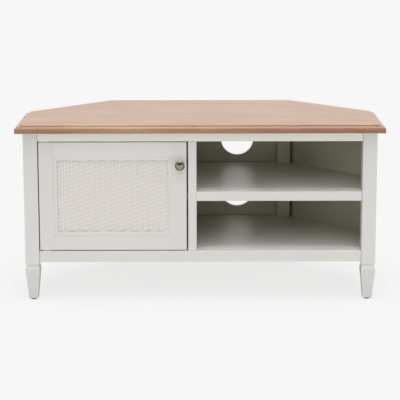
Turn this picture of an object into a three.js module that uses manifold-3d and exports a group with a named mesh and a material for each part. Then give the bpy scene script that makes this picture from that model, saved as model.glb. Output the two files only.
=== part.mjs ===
// Corner television cabinet: a painted carcass with a cane-panelled door on the left,
// two open bays on the right and a moulded wooden top with both rear corners cut off.
// Units are millimetres. X runs to the right, Y to the back and Z up from the floor.
// The origin is on the floor, under the middle of the top.

import * as THREE from 'three';
import { mergeVertices } from 'three/addons/utils/BufferGeometryUtils.js';
import Module from 'manifold-3d';

const wasm = await Module();
wasm.setup();

// Overall size
const cabinetWidth = 1050;
const cabinetDepth = 500;
const cabinetHeight = 515;

// Top board
const topThickness = 23;
const topSideLength = 255;
const topOverhang = 21;
const rearOverhang = 6;
const mouldingRadius = 10;
const mouldingLedge = 5;
const mouldingStep = 2.6;

// Legs and their shaped feet
const legSize = 41;
const rearLegCornerInset = 2.5;
const floorClearance = 115;
const collarDrop = 6;
const neckDrop = 11.5;
const neckDepth = 3.8;
const spadeDrop = 20.5;
const taperDrop = 29;
const footTipSize = 26.4;
const footEdgeRound = 2.5;
const glideRise = 4;
const glideRadius = 9;
const glideEdge = 1.6;
const glideStemRadius = 2.5;
const glideStemLength = 14;

// Frame rails and stile
const railThickness = 20;
const topRailHeight = 25;
const bottomRailHeight = 32.5;
const stileWidth = 24;
const stileOffset = 22.5;

// Panels
const panelThickness = 15;
const sidePanelSetback = 3;
const cornerPanelOverhang = 10;
const dividerThickness = 18;
const dividerHousing = 4;
const bottomThickness = 18;
const backThickness = 9;
const backRecess = 9;
const rearRailRecess = 3;

// Shelves
const bayShelfThickness = 26.4;
const cupboardShelfRise = 161;
const cupboardShelfThickness = 18;
const cupboardShelfSetback = 24;

// Cable holes in the back panel: the wood left over and under them, and the share of the
// wall between a rear leg and the divider at which they stand
const upperHoleSill = 23.6;
const lowerHoleSill = 31.2;
const lowerHoleHead = 13.4;
const bayHoleShare = 0.505;
const cupboardHoleShare = 0.5;

// Cleats that carry the top
const cleatSize = 20;
const cleatEndGap = 12;

// Shelf pins
const pinRadius = 2.5;
const pinDepth = 8;
const pinHeadRadius = 4;
const pinHeadLength = 7;
const pinFrontInset = 30;
const pinBendInset = 44;
const pinBackInset = 81;

// Door frame and panel
const doorThickness = 20;
const hingeGap = 2.6;
const latchGap = 4.5;
const doorTopGap = 2.2;
const doorBottomGap = 3;
const doorStileWidth = 41.5;
const doorTopRailHeight = 41.6;
const doorBottomRailHeight = 42.7;
const rebateWidth = 8;
const rebateDepth = 3.4;
const beadWidth = 11.3;
const beadSetback = 0.8;
const beadLip = 1.2;
const caneThickness = 1.4;
const backingThickness = 4;

// Cane weave: strands each way, the repeat of the twill in strands, how far a strand that lies on
// top stands up, and the share of a row that it takes
const caneColumns = 16;
const caneRows = 32;
const twillRepeat = 4;
const twillFloat = 2;
const caneRelief = 0.5;
const caneFloatShare = 0.86;

// Pivot hinges
const pivotInset = 12;
const pivotSetback = 7;
const pivotPinRadius = 2.5;
const pivotRunningClearance = 0.06;
const pivotPinReach = 9;
const pivotPlateThickness = 1.5;
const pivotPlateLength = 26;
const pivotPlateWidth = 12;
const pivotCollarRadius = 4.4;
const bushRadius = 4.5;
const bushLength = 11;

// Knob
const knobRadius = 14.4;
const knobFromEdge = 18.8;
const knobFromTop = 65.4;
const knobProjection = 20.6;
const knobStemRadius = 4.6;
const knobHeadThickness = 9;
const knobRimWidth = 2.8;
const knobDomeRise = 2.6;
const roseRadius = 8.6;
const roseThickness = 2.4;
const roseEdge = 0.8;
const screwRadius = 2;
const screwHeadRadius = 4.4;
const screwHeadHeight = 2.4;
const screwReach = 8;

// Magnetic catch and its strike plate
const catchWidth = 26;
const catchDepth = 15;
const catchHeight = 14;
const catchFromTop = 30;
const poleThickness = 2;
const poleReach = 1;
const strikeThickness = 1.2;
const strikeWidth = 13;
const strikeHeight = 24;
const strikeEdgeInset = 1.2;
const strikeHoleRadius = 1.8;

// Fits: the joint line between glued or screwed pieces, the play round a cut, the softened edges
const jointGap = 0.2;
const cutGap = 0.3;
const holePlay = 0.3;
const arris = 1;
const fineArris = 0.5;
const overrun = 5;

// Counts
const fineSegments = 48;
const holeSegments = 48;
const smallSegments = 16;
const mouldingSteps = 8;
const footSteps = 3;
const beadSteps = 5;
const domeSteps = 8;
const rimSteps = 6;

// Derived places
const rootTwo = Math.SQRT2;
const halfTurn = Math.PI;
const quarterTurn = Math.PI / 2;
const halfWidth = cabinetWidth / 2;
const halfDepth = cabinetDepth / 2;
const topUnderside = cabinetHeight - topThickness;
const frontY = -halfDepth + topOverhang;
const legOuterX = halfWidth - topOverhang;
const legInnerX = legOuterX - legSize;
const legBackY = frontY + legSize;
const railBackY = frontY + railThickness;

// Along the top's cut corner x + y keeps one value, and so it does along each face parallel to it
const topCornerSum = halfWidth - halfDepth + topSideLength;
const rearLegBackY = halfDepth - rearOverhang;
const rearLegFrontY = rearLegBackY - legSize;
const rearLegOuterX = topCornerSum - rearLegBackY - rearLegCornerInset;
const rearLegInnerX = rearLegOuterX - legSize;
const sideOuterX = legOuterX - sidePanelSetback;
const sideInnerX = sideOuterX - panelThickness;
const cornerOuterSum = topCornerSum - cornerPanelOverhang * rootTwo;
const cornerInnerSum = cornerOuterSum - panelThickness * rootTwo;
const backInnerY = rearLegBackY - backRecess - backThickness;
const rearRailBackY = rearLegBackY - rearRailRecess;

const floorZ = floorClearance + bottomRailHeight;
const topRailBottomZ = topUnderside - topRailHeight;
const stileRightX = stileWidth / 2 - stileOffset;
const stileLeftX = -stileWidth / 2 - stileOffset;
const dividerLeftX = stileRightX - dividerThickness;

// The fixed shelf leaves two bays of one height, and the four holes have one radius
const bayHeight = (topRailBottomZ - floorZ - bayShelfThickness) / 2;
const bayShelfTop = floorZ + bayHeight + bayShelfThickness;
const cupboardShelfTop = floorZ + cupboardShelfRise;
const cableHoleRadius = (bayHeight - lowerHoleSill - lowerHoleHead) / 2;
const bayHoleX = stileRightX + (rearLegInnerX - stileRightX) * bayHoleShare;
const cupboardHoleX = (dividerLeftX + rearLegInnerX) * cupboardHoleShare - rearLegInnerX;

const doorLeftX = -legInnerX + hingeGap;
const doorWidth = stileLeftX - latchGap - doorLeftX;
const doorBottomZ = floorZ + doorBottomGap;
const doorHeight = topRailBottomZ - doorTopGap - doorBottomZ;
const doorBackY = frontY + doorThickness;
const cupboardShelfFrontY = doorBackY + cupboardShelfSetback;

// Finishes
const paintFinish = { color: 0xd9d8d3, roughness: 0.5, metalness: 0 };
const woodFinish = { color: 0xa47c64, roughness: 0.55, metalness: 0 };
const caneFinish = { color: 0xdedbd2, roughness: 0.7, metalness: 0 };
const pewterFinish = { color: 0x8a8078, roughness: 0.35, metalness: 0.9 };
const steelFinish = { color: 0xb4b4b2, roughness: 0.35, metalness: 0.9 };
const glideFinish = { color: 0x23221f, roughness: 0.6, metalness: 0 };
const catchFinish = { color: 0x4a4640, roughness: 0.6, metalness: 0 };

// A named piece with a material of its own, set at a place
function piece(name, geometry, finish, x = 0, y = 0, z = 0) {
  const mesh = new THREE.Mesh(geometry, new THREE.MeshStandardMaterial(finish));
  mesh.name = name;
  mesh.position.set(x, y, z);
  return mesh;
}

// The same geometry with only its positions, its shared corners merged and no collapsed faces
function weld(geometry) {
  const bare = geometry.clone();
  bare.deleteAttribute('normal');
  bare.deleteAttribute('uv');
  const welded = mergeVertices(bare);
  const index = welded.getIndex().array;
  const kept = [];
  for (let i = 0; i < index.length; i += 3) {
    const [a, b, c] = [index[i], index[i + 1], index[i + 2]];
    if (a !== b && b !== c && c !== a) {
      kept.push(a, b, c);
    }
  }
  welded.setIndex(kept);
  return welded;
}

function solidOf(geometry) {
  const welded = weld(geometry);
  const vertProperties = new Float32Array(welded.getAttribute('position').array);
  const triVerts = new Uint32Array(welded.getIndex().array);
  return new wasm.Manifold(new wasm.Mesh({ numProp: 3, vertProperties, triVerts }));
}

function geometryOf(solid) {
  const mesh = solid.getMesh();
  const geometry = new THREE.BufferGeometry();
  geometry.setAttribute('position', new THREE.BufferAttribute(new Float32Array(mesh.vertProperties), 3));
  geometry.setIndex(Array.from(mesh.triVerts));
  geometry.computeVertexNormals();
  return geometry;
}

// One geometry less a list of others
function cut(geometry, tools) {
  let solid = solidOf(geometry);
  for (const tool of tools) {
    solid = solid.subtract(solidOf(tool));
  }
  return geometryOf(solid);
}

function join(geometries) {
  let solid = solidOf(geometries[0]);
  for (const other of geometries.slice(1)) {
    solid = solid.add(solidOf(other));
  }
  return geometryOf(solid);
}

function outline(points) {
  return new THREE.Shape(points.map(([x, y]) => new THREE.Vector2(x, y)));
}

// A plain rectangle from one corner to the other
function rectangle(x0, y0, x1, y1) {
  return outline([
    [x0, y0],
    [x1, y0],
    [x1, y1],
    [x0, y1],
  ]);
}

// A rectangle from one corner to the other, with its four corners cut at 45 degrees
function chamferedRectangle(x0, y0, x1, y1, corner) {
  return outline([
    [x0 + corner, y0],
    [x1 - corner, y0],
    [x1, y0 + corner],
    [x1, y1 - corner],
    [x1 - corner, y1],
    [x0 + corner, y1],
    [x0, y1 - corner],
    [x0, y0 + corner],
  ]);
}

// A shape raised along Z from zero, its two end faces softened by an arris
function raise(shape, height, edge = 0, curveSegments = fineSegments) {
  if (edge === 0) {
    return new THREE.ExtrudeGeometry(shape, { depth: height, bevelEnabled: false, curveSegments });
  }
  const bevel = { bevelThickness: edge, bevelSize: edge, bevelOffset: -edge, bevelSegments: 1 };
  const options = { depth: height - edge - edge, curveSegments, ...bevel };
  return new THREE.ExtrudeGeometry(shape, options).translate(0, 0, edge);
}

// A shape drawn in Y and Z, run along X from zero
function runAlongX(shape, length, edge = 0) {
  const turn = new THREE.Matrix4().set(0, 0, 1, 0, 1, 0, 0, 0, 0, 1, 0, 0, 0, 0, 0, 1);
  return raise(shape, length, edge).applyMatrix4(turn);
}

// A plain board with softened edges, its low corner at the origin
function softBoard(sizeX, sizeY, sizeZ, edge = arris) {
  return raise(chamferedRectangle(0, 0, sizeX, sizeY, edge), sizeZ, edge);
}

// A board that fills the space between two corners, drawn in at the faces that meet a neighbour
function boardBetween(name, low, high, finish, edge = arris) {
  const [x0, y0, z0] = low;
  const [x1, y1, z1] = high;
  return piece(name, softBoard(x1 - x0, y1 - y0, z1 - z0, edge), finish, x0, y0, z0);
}

// A round bar along Z from one height to another
function roundBar(radius, z0, z1, segments = smallSegments, x = 0, y = 0) {
  const bar = new THREE.CylinderGeometry(radius, radius, z1 - z0, segments);
  return bar.rotateX(quarterTurn).translate(x, y, (z0 + z1) / 2);
}

// A profile of radius and height pairs turned about Y
function turned(profile, segments) {
  const points = profile.map(([radius, height]) => new THREE.Vector2(radius, height));
  return weld(new THREE.LatheGeometry(points, segments));
}

// A solid skinned over rings that have the same number of points, closed by flat ends
function loft(rings) {
  const count = rings[0].length;
  const positions = rings.flat(2);
  const index = [];
  for (let r = 0; r < rings.length - 1; r += 1) {
    for (let i = 0; i < count; i += 1) {
      const a = r * count + i;
      const b = r * count + ((i + 1) % count);
      index.push(a, b, b + count, a, b + count, a + count);
    }
  }
  const last = (rings.length - 1) * count;
  for (let i = 1; i < count - 1; i += 1) {
    index.push(0, i + 1, i);
    index.push(last, last + i, last + i + 1);
  }
  const geometry = new THREE.BufferGeometry();
  geometry.setAttribute('position', new THREE.Float32BufferAttribute(positions, 3));
  geometry.setIndex(index);
  geometry.computeVertexNormals();
  return geometry;
}

// The top's outline at one height: drawn in by one amount on the moulded edges, another behind
function topRing(mouldedInset, plainInset, z) {
  const x = halfWidth - mouldedInset;
  const front = -halfDepth + mouldedInset;
  const back = halfDepth - plainInset;
  const sum = topCornerSum - plainInset * rootTwo;
  return [
    [-x, front, z],
    [x, front, z],
    [x, sum - x, z],
    [sum - back, back, z],
    [back - sum, back, z],
    [-x, sum - x, z],
  ];
}

// The moulding: a square face, a quarter round, a small ledge and a step up to the top surface
function makeTop() {
  const faceTop = topThickness - mouldingRadius - mouldingStep;
  const rings = [topRing(arris, arris, 0), topRing(0, 0, arris), topRing(0, 0, faceTop)];
  for (let i = 1; i <= mouldingSteps; i += 1) {
    const angle = (quarterTurn * i) / mouldingSteps;
    const inset = mouldingRadius * (1 - Math.cos(angle));
    rings.push(topRing(inset, 0, faceTop + mouldingRadius * Math.sin(angle)));
  }
  const stepInset = mouldingRadius + mouldingLedge;
  rings.push(topRing(stepInset, 0, topThickness - mouldingStep));
  rings.push(topRing(stepInset, 0, topThickness - arris));
  rings.push(topRing(stepInset + arris, arris, topThickness));
  return piece('top_board', loft(rings), woodFinish, 0, 0, topUnderside);
}

// A square section with cut corners
function legRing(half, z) {
  const short = half - arris;
  return [
    [-short, -half, z],
    [short, -half, z],
    [half, -short, z],
    [half, short, z],
    [short, half, z],
    [-short, half, z],
    [-half, short, z],
    [-half, -short, z],
  ];
}

// The leg: a rounded tip, a foot that widens to a spade, a V-shaped neck and a square shaft
function makeLeg(name, x, y) {
  const half = legSize / 2;
  const tip = footTipSize / 2;
  const rings = [];
  for (let i = 0; i <= footSteps; i += 1) {
    const angle = (quarterTurn * i) / footSteps;
    const drawnIn = footEdgeRound * (1 - Math.sin(angle));
    rings.push(legRing(tip - drawnIn, glideRise + footEdgeRound * (1 - Math.cos(angle))));
  }
  rings.push(legRing(half, floorClearance - taperDrop));
  rings.push(legRing(half, floorClearance - spadeDrop));
  rings.push(legRing(half - neckDepth, floorClearance - neckDrop));
  rings.push(legRing(half, floorClearance - collarDrop));
  rings.push(legRing(half, topUnderside - jointGap));
  const holeRadius = glideStemRadius + holePlay;
  const hole = roundBar(holeRadius, 0, glideRise + glideStemLength + holePlay);
  return piece(name, cut(loft(rings), [hole]), paintFinish, x, y, 0);
}

// A round glide with a stem that is driven up into the foot
function makeGlide(name, x, y) {
  const top = glideRise - jointGap;
  const profile = [
    [0, 0],
    [glideRadius - glideEdge, 0],
    [glideRadius, glideEdge],
    [glideRadius, top],
    [glideStemRadius, top],
    [glideStemRadius, glideRise + glideStemLength],
    [0, glideRise + glideStemLength],
  ];
  const glide = piece(name, turned(profile, smallSegments), glideFinish, x, y, 0);
  glide.rotation.x = quarterTurn;
  return glide;
}

function makeLegs() {
  const frontX = legOuterX - legSize / 2;
  const frontCentreY = frontY + legSize / 2;
  const rearX = rearLegOuterX - legSize / 2;
  const rearCentreY = rearLegBackY - legSize / 2;
  const places = [
    ['front_left', -frontX, frontCentreY],
    ['front_right', frontX, frontCentreY],
    ['rear_left', -rearX, rearCentreY],
    ['rear_right', rearX, rearCentreY],
  ];
  const pieces = [];
  for (const [place, x, y] of places) {
    pieces.push(makeLeg(`${place}_leg`, x, y));
    pieces.push(makeGlide(`${place}_glide`, x, y));
  }
  return pieces;
}

// Front and rear rails between the legs, and the stile between door and bays
function makeFrameRails() {
  const frontEndX = legInnerX - jointGap;
  const rearEndX = rearLegInnerX - jointGap;
  const topZ = topUnderside - jointGap;
  return [
    boardBetween(
      'top_front_rail',
      [-frontEndX, frontY, topRailBottomZ],
      [frontEndX, railBackY, topZ],
      paintFinish,
    ),
    boardBetween(
      'bottom_front_rail',
      [-frontEndX, frontY, floorClearance],
      [frontEndX, railBackY, floorZ],
      paintFinish,
    ),
    boardBetween(
      'centre_stile',
      [stileLeftX, frontY, floorZ + jointGap],
      [stileRightX, railBackY, topRailBottomZ - jointGap],
      paintFinish,
    ),
    boardBetween(
      'rear_top_rail',
      [-rearEndX, backInnerY, topRailBottomZ],
      [rearEndX, rearRailBackY, topZ],
      paintFinish,
    ),
    boardBetween(
      'rear_bottom_rail',
      [-rearEndX, backInnerY, floorClearance],
      [rearEndX, rearRailBackY, floorZ],
      paintFinish,
    ),
  ];
}

// A cutter round each leg, with the play that a notch leaves
function legNotches() {
  const notches = [];
  const spans = [
    [legInnerX, legOuterX, frontY, legBackY],
    [rearLegInnerX, rearLegOuterX, rearLegFrontY, rearLegBackY],
  ];
  for (const [x0, x1, y0, y1] of spans) {
    for (const side of [-1, 1]) {
      const width = x1 - x0 + cutGap + cutGap;
      const depth = y1 - y0 + cutGap + cutGap;
      const box = new THREE.BoxGeometry(width, depth, cabinetHeight);
      notches.push(box.translate((side * (x0 + x1)) / 2, (y0 + y1) / 2, 0));
    }
  }
  return notches;
}

// The plan of a board that fills the cabinet between two X values, from a front line to the back
function planBetween(x0, x1, y0) {
  const side = sideInnerX - cutGap;
  const sum = cornerInnerSum - cutGap * rootTwo;
  const back = backInnerY - jointGap;
  const points = [[x0, y0], [x1, y0]];
  if (x1 >= side) {
    points.push([x1, sum - x1], [sum - back, back]);
  } else {
    points.push([x1, back]);
  }
  if (x0 <= -side) {
    points.push([back - sum, back], [x0, sum + x0]);
  } else {
    points.push([x0, back]);
  }
  return outline(points);
}

// The bottom runs the whole width, notched round all four legs, with a housing for the divider
function makeBottom() {
  const side = sideInnerX - cutGap;
  const plan = planBetween(-side, side, railBackY + jointGap);
  const width = dividerThickness + cutGap + cutGap;
  const housing = new THREE.BoxGeometry(width, cabinetDepth, dividerHousing + dividerHousing);
  housing.translate(dividerLeftX + dividerThickness / 2, 0, bottomThickness);
  const geometry = cut(raise(plan, bottomThickness), [...legNotches(), housing]);
  return piece('bottom_panel', geometry, paintFinish, 0, 0, floorZ - bottomThickness);
}

// The shelf of the open bays comes flush to the front of the frame
function makeBayShelf() {
  const side = sideInnerX - cutGap;
  const plan = planBetween(stileRightX + jointGap, side, frontY);
  const geometry = cut(raise(plan, bayShelfThickness, fineArris), legNotches());
  return piece('bay_shelf', geometry, paintFinish, 0, 0, bayShelfTop - bayShelfThickness);
}

// The loose shelf in the cupboard stands back from the door and lies on four pins
function makeCupboardShelf() {
  const side = sideInnerX - cutGap;
  const plan = planBetween(-side, dividerLeftX - cutGap, cupboardShelfFrontY);
  const geometry = cut(raise(plan, cupboardShelfThickness, fineArris), legNotches());
  const underside = cupboardShelfTop - cupboardShelfThickness;
  return piece('cupboard_shelf', geometry, paintFinish, 0, 0, underside);
}

// Where the four shelf pins stand: the wall's face, the way into the wall, and the place along Y
function pinPlaces() {
  const firstY = cupboardShelfFrontY + pinFrontInset;
  const bendY = cornerInnerSum - sideInnerX;
  return [
    [-sideInnerX, -1, firstY],
    [-sideInnerX, -1, bendY - pinBendInset],
    [dividerLeftX, 1, firstY],
    [dividerLeftX, 1, backInnerY - pinBackInset],
  ];
}

function pinHeight() {
  return cupboardShelfTop - cupboardShelfThickness - jointGap - pinHeadRadius;
}

// Round cutters for the pins of one wall, in the frame of the cabinet
function pinHoles(way) {
  const holes = [];
  for (const [x, side, y] of pinPlaces()) {
    if (side === way) {
      const length = pinDepth + holePlay + overrun;
      const bar = roundBar(pinRadius + holePlay, 0, length).rotateY(side * quarterTurn);
      holes.push(bar.translate(x - side * overrun, y, pinHeight()));
    }
  }
  return holes;
}

function makeShelfPins() {
  const profile = [
    [0, -pinHeadLength],
    [pinHeadRadius - fineArris, -pinHeadLength],
    [pinHeadRadius, fineArris - pinHeadLength],
    [pinHeadRadius, -jointGap],
    [pinRadius, -jointGap],
    [pinRadius, pinDepth],
    [0, pinDepth],
  ];
  return pinPlaces().map(([x, side, y], i) => {
    const geometry = turned(profile, smallSegments);
    const pin = piece(`shelf_pin_${i + 1}`, geometry, steelFinish, x, y, pinHeight());
    pin.rotation.z = -side * quarterTurn;
    return pin;
  });
}

// A panel of constant plan that stands from the underside of the frame to the top
function standPanel(points, z0, z1) {
  return raise(outline(points), z1 - z0).translate(0, 0, z0);
}

// Straight side panels behind the front legs, mitred to the 45 degree corner panels
function makeSidePanels() {
  const z0 = floorClearance;
  const z1 = topUnderside - jointGap;
  const bend = cutGap / 2;
  const innerBendY = cornerInnerSum - sideInnerX;
  const outerBendY = cornerOuterSum - sideOuterX;
  const legFace = rearLegOuterX + cutGap;
  const pieces = [];
  for (const [name, side] of [['left', -1], ['right', 1]]) {
    const straight = [
      [side * sideInnerX, legBackY + jointGap],
      [side * sideOuterX, legBackY + jointGap],
      [side * sideOuterX, outerBendY - bend],
      [side * sideInnerX, innerBendY - bend],
    ];
    const slanted = [
      [side * (sideInnerX - bend), innerBendY + bend],
      [side * (sideOuterX - bend), outerBendY + bend],
      [side * legFace, cornerOuterSum - legFace],
      [side * legFace, cornerInnerSum - legFace],
    ];
    const wall = standPanel(straight, z0, z1);
    const geometry = side < 0 ? cut(wall, pinHoles(side)) : wall;
    pieces.push(piece(`${name}_side_panel`, geometry, paintFinish));
    pieces.push(piece(`${name}_corner_panel`, standPanel(slanted, z0, z1), paintFinish));
  }
  return pieces;
}

// The divider stands behind the stile, its right face flush with it and its foot in the housing
function makeDivider() {
  const y0 = railBackY + jointGap;
  const y1 = backInnerY - jointGap;
  const z0 = floorZ - dividerHousing + jointGap;
  const z1 = topUnderside - jointGap;
  const board = softBoard(dividerThickness, y1 - y0, z1 - z0, fineArris);
  const geometry = cut(board.translate(dividerLeftX, y0, z0), pinHoles(1));
  return piece('divider_panel', geometry, paintFinish);
}

// The back panel fills the space between the rear legs and rails, with a round hole at each space
function makeBack() {
  const halfSpan = rearLegInnerX - jointGap;
  const z0 = floorZ + jointGap;
  const z1 = topRailBottomZ - jointGap;
  const shape = rectangle(-halfSpan, z0, halfSpan, z1);
  const upperHoleZ = bayShelfTop + upperHoleSill + cableHoleRadius;
  const lowerHoleZ = floorZ + lowerHoleSill + cableHoleRadius;
  for (const x of [bayHoleX, cupboardHoleX]) {
    for (const z of [upperHoleZ, lowerHoleZ]) {
      const hole = new THREE.Path();
      hole.absarc(x, z, cableHoleRadius, 0, halfTurn + halfTurn, true);
      shape.holes.push(hole);
    }
  }
  const geometry = raise(shape, backThickness, 0, holeSegments / 2);
  const back = piece('back_panel', geometry, paintFinish, 0, backInnerY + backThickness, 0);
  back.rotation.x = quarterTurn;
  return back;
}

// Square cleats under the top, along the two side panels
function makeCleats() {
  const y0 = legBackY + cleatEndGap;
  const y1 = cornerInnerSum - sideInnerX - cleatEndGap;
  const z1 = topUnderside - jointGap;
  const outer = sideInnerX - jointGap;
  const inner = outer - cleatSize;
  return [
    boardBetween('left_top_cleat', [-outer, y0, z1 - cleatSize], [-inner, y1, z1], paintFinish),
    boardBetween('right_top_cleat', [inner, y0, z1 - cleatSize], [outer, y1, z1], paintFinish),
  ];
}

// A pivot plate screwed to a rail, with a collar that spans the door's gap and a pin
function makeFramePivot(gap) {
  const halfPlate = pivotPlateWidth / 2;
  const shape = chamferedRectangle(-halfPlate, -halfPlate, pivotPlateLength - halfPlate, halfPlate, arris);
  const plate = raise(shape, pivotPlateThickness);
  const collar = roundBar(pivotCollarRadius, 0, gap - cutGap, fineSegments);
  const pin = roundBar(pivotPinRadius, 0, gap + pivotPinReach, fineSegments);
  return join([plate, collar, pin]);
}

function makeFramePivots() {
  const x = doorLeftX + pivotInset;
  const y = frontY + pivotSetback;
  const low = makeFramePivot(doorBottomGap);
  const high = makeFramePivot(doorTopGap);
  const lower = piece('lower_pivot_pin', low, steelFinish, x, y, floorZ + jointGap);
  const upper = piece('upper_pivot_pin', high, steelFinish, x, y, topRailBottomZ - jointGap);
  upper.rotation.x = halfTurn;
  return [lower, upper];
}

// The magnetic catch on the divider: a moulded body with two steel poles
function makeCatch() {
  const body = softBoard(catchWidth, catchDepth, catchHeight, fineArris);
  const poles = [];
  for (const z of [poleThickness, catchHeight - poleThickness - poleThickness]) {
    const width = catchWidth - poleThickness - poleThickness;
    const pole = raise(chamferedRectangle(0, 0, width, catchDepth, fineArris), poleThickness);
    poles.push(pole.translate(poleThickness, -poleReach, z));
  }
  const x = dividerLeftX - jointGap - catchWidth;
  const y = doorBackY + jointGap + strikeThickness + cutGap + poleReach;
  const z = topRailBottomZ - catchFromTop - catchHeight;
  return piece('magnetic_catch', join([body, ...poles]), catchFinish, x, y, z);
}

// Door pieces are drawn from the door's lower left front corner

// The section of a frame member: full at the front, rebated behind for the panel.
// Across runs from the outer edge inwards, back runs from the front face to the back.
function memberSection(width) {
  return [
    [fineArris, 0],
    [width, 0],
    [width, rebateDepth],
    [width - rebateWidth, rebateDepth],
    [width - rebateWidth, doorThickness],
    [fineArris, doorThickness],
    [0, doorThickness - fineArris],
    [0, fineArris],
  ];
}

// The cutters for a pivot's bush plate and sleeve in the end of the hinge stile
function bushPocket() {
  const halfPlate = pivotPlateWidth / 2 + holePlay;
  const end = pivotPlateLength - halfPlate;
  const shape = chamferedRectangle(-halfPlate, -halfPlate, end + holePlay, halfPlate, arris);
  const plate = raise(shape, pivotPlateThickness + overrun).translate(0, 0, -overrun);
  const sleeve = roundBar(bushRadius + holePlay, -overrun, bushLength + holePlay, fineSegments);
  return [plate, sleeve];
}

function makeHingeStile() {
  const body = raise(outline(memberSection(doorStileWidth)), doorHeight, fineArris);
  const lower = bushPocket().map((tool) => tool.translate(pivotInset, pivotSetback, 0));
  const upper = bushPocket().map((tool) => {
    return tool.rotateX(halfTurn).translate(pivotInset, pivotSetback, doorHeight);
  });
  return piece('door_hinge_stile', cut(body, [...lower, ...upper]), paintFinish);
}

// The latch stile is drilled through for the knob's screw
function makeLatchStile() {
  const section = memberSection(doorStileWidth).map(([across, back]) => [-across, back]);
  const body = raise(outline(section), doorHeight, fineArris);
  const drill = roundBar(screwRadius + holePlay, -overrun, doorThickness + overrun);
  drill.rotateX(-quarterTurn).translate(-knobFromEdge, 0, doorHeight - knobFromTop);
  return piece('door_latch_stile', cut(body, [drill]), paintFinish, doorWidth, 0, 0);
}

// A rail between the stiles, with a tongue at each end that fills the stile's rebate.
// Way is 1 where the rail's outer edge faces down and -1 where it faces up.
function railBody(width, way) {
  const length = doorWidth - doorStileWidth - doorStileWidth - jointGap - jointGap;
  const section = memberSection(width).map(([across, back]) => [back, way * across]);
  const outer = way * fineArris;
  const inner = way * (width - rebateWidth - fineArris);
  const tongue = rectangle(rebateDepth + jointGap, outer, doorThickness - fineArris, inner);
  const run = runAlongX(tongue, length + rebateWidth + rebateWidth).translate(-rebateWidth, 0, 0);
  return join([runAlongX(outline(section), length), run]);
}

function makeDoorRails() {
  const x = doorStileWidth + jointGap;
  return [
    piece('door_bottom_rail', railBody(doorBottomRailHeight, 1), paintFinish, x, 0, 0),
    piece('door_top_rail', railBody(doorTopRailHeight, -1), paintFinish, x, 0, doorHeight),
  ];
}

// The bead's section: a narrow lip at the frame, then a quarter round down to the panel
function beadSection() {
  const foot = rebateDepth - jointGap;
  const fall = foot - beadSetback - beadLip;
  const run = beadWidth - beadLip;
  const points = [[jointGap, foot], [jointGap, beadSetback], [beadLip, beadSetback]];
  for (let i = 1; i <= beadSteps; i += 1) {
    const angle = (quarterTurn * i) / beadSteps;
    points.push([beadLip + run * Math.sin(angle), beadSetback + fall * (1 - Math.cos(angle))]);
  }
  points.push([beadWidth, foot]);
  return points;
}

// A strip of bead with both ends mitred, along X, its outer edge at the line of the frame
function beadStrip(length) {
  const section = beadSection();
  const near = section.map(([across, back]) => [across + cutGap, back, across]);
  const far = section.map(([across, back]) => [length - across - cutGap, back, across]);
  return loft([far, near]);
}

function makeBeads() {
  const width = doorWidth - doorStileWidth - doorStileWidth;
  const height = doorHeight - doorTopRailHeight - doorBottomRailHeight;
  const left = doorStileWidth;
  const right = doorWidth - doorStileWidth;
  const low = doorBottomRailHeight;
  const high = doorHeight - doorTopRailHeight;
  const strips = [
    ['bead_bottom', width, left, low, 0],
    ['bead_right', height, right, low, -quarterTurn],
    ['bead_top', width, right, high, halfTurn],
    ['bead_left', height, left, high, quarterTurn],
  ];
  return strips.map(([name, length, x, z, turn]) => {
    const strip = piece(name, beadStrip(length), paintFinish, x, 0, z);
    strip.rotation.y = turn;
    return strip;
  });
}

// The cane sheet: a plain margin round a field of twill, in which each row of cane passes over two
// columns and under two, one column further right than the row below
function makeCane() {
  const overlap = rebateWidth - cutGap;
  const left = doorStileWidth + beadWidth;
  const right = doorWidth - doorStileWidth - beadWidth;
  const low = doorBottomRailHeight + beadWidth;
  const high = doorHeight - doorTopRailHeight - beadWidth;
  const margin = overlap + beadWidth;
  const sheet = rectangle(left - margin, low - margin, right + margin, high + margin);
  const groundZ = caneThickness - caneRelief;
  const field = raise(rectangle(left, low, right, high), caneThickness).translate(0, 0, groundZ);
  const ground = cut(raise(sheet, caneThickness), [field]);
  const pitchX = (right - left) / caneColumns;
  const pitchZ = (high - low) / caneRows;
  const inset = (pitchZ * (1 - caneFloatShare)) / 2;
  const floats = [];
  for (let row = 0; row < caneRows; row += 1) {
    for (let start = (row % twillRepeat) - twillRepeat; start < caneColumns; start += twillRepeat) {
      const first = Math.max(start, 0);
      const last = Math.min(start + twillFloat, caneColumns);
      if (last > first) {
        const x0 = left + pitchX * first + inset;
        const x1 = left + pitchX * last - inset;
        const z0 = low + pitchZ * row + inset;
        const strand = rectangle(x0, z0, x1, z0 + pitchZ - inset - inset);
        floats.push(raise(strand, caneThickness - groundZ / 2).translate(0, 0, groundZ / 2));
      }
    }
  }
  const y = rebateDepth + jointGap + caneThickness;
  const cane = piece('cane_webbing', join([ground, ...floats]), caneFinish, 0, y, 0);
  cane.rotation.x = quarterTurn;
  return cane;
}

// The painted board behind the cane
function makeBacking() {
  const overlap = rebateWidth - cutGap;
  const x0 = doorStileWidth - overlap;
  const x1 = doorWidth - doorStileWidth + overlap;
  const z0 = doorBottomRailHeight - overlap;
  const z1 = doorHeight - doorTopRailHeight + overlap;
  const y0 = rebateDepth + jointGap + caneThickness + jointGap;
  const y1 = y0 + backingThickness;
  return boardBetween('door_backing_panel', [x0, y0, z0], [x1, y1, z1], paintFinish, fineArris);
}

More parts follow.
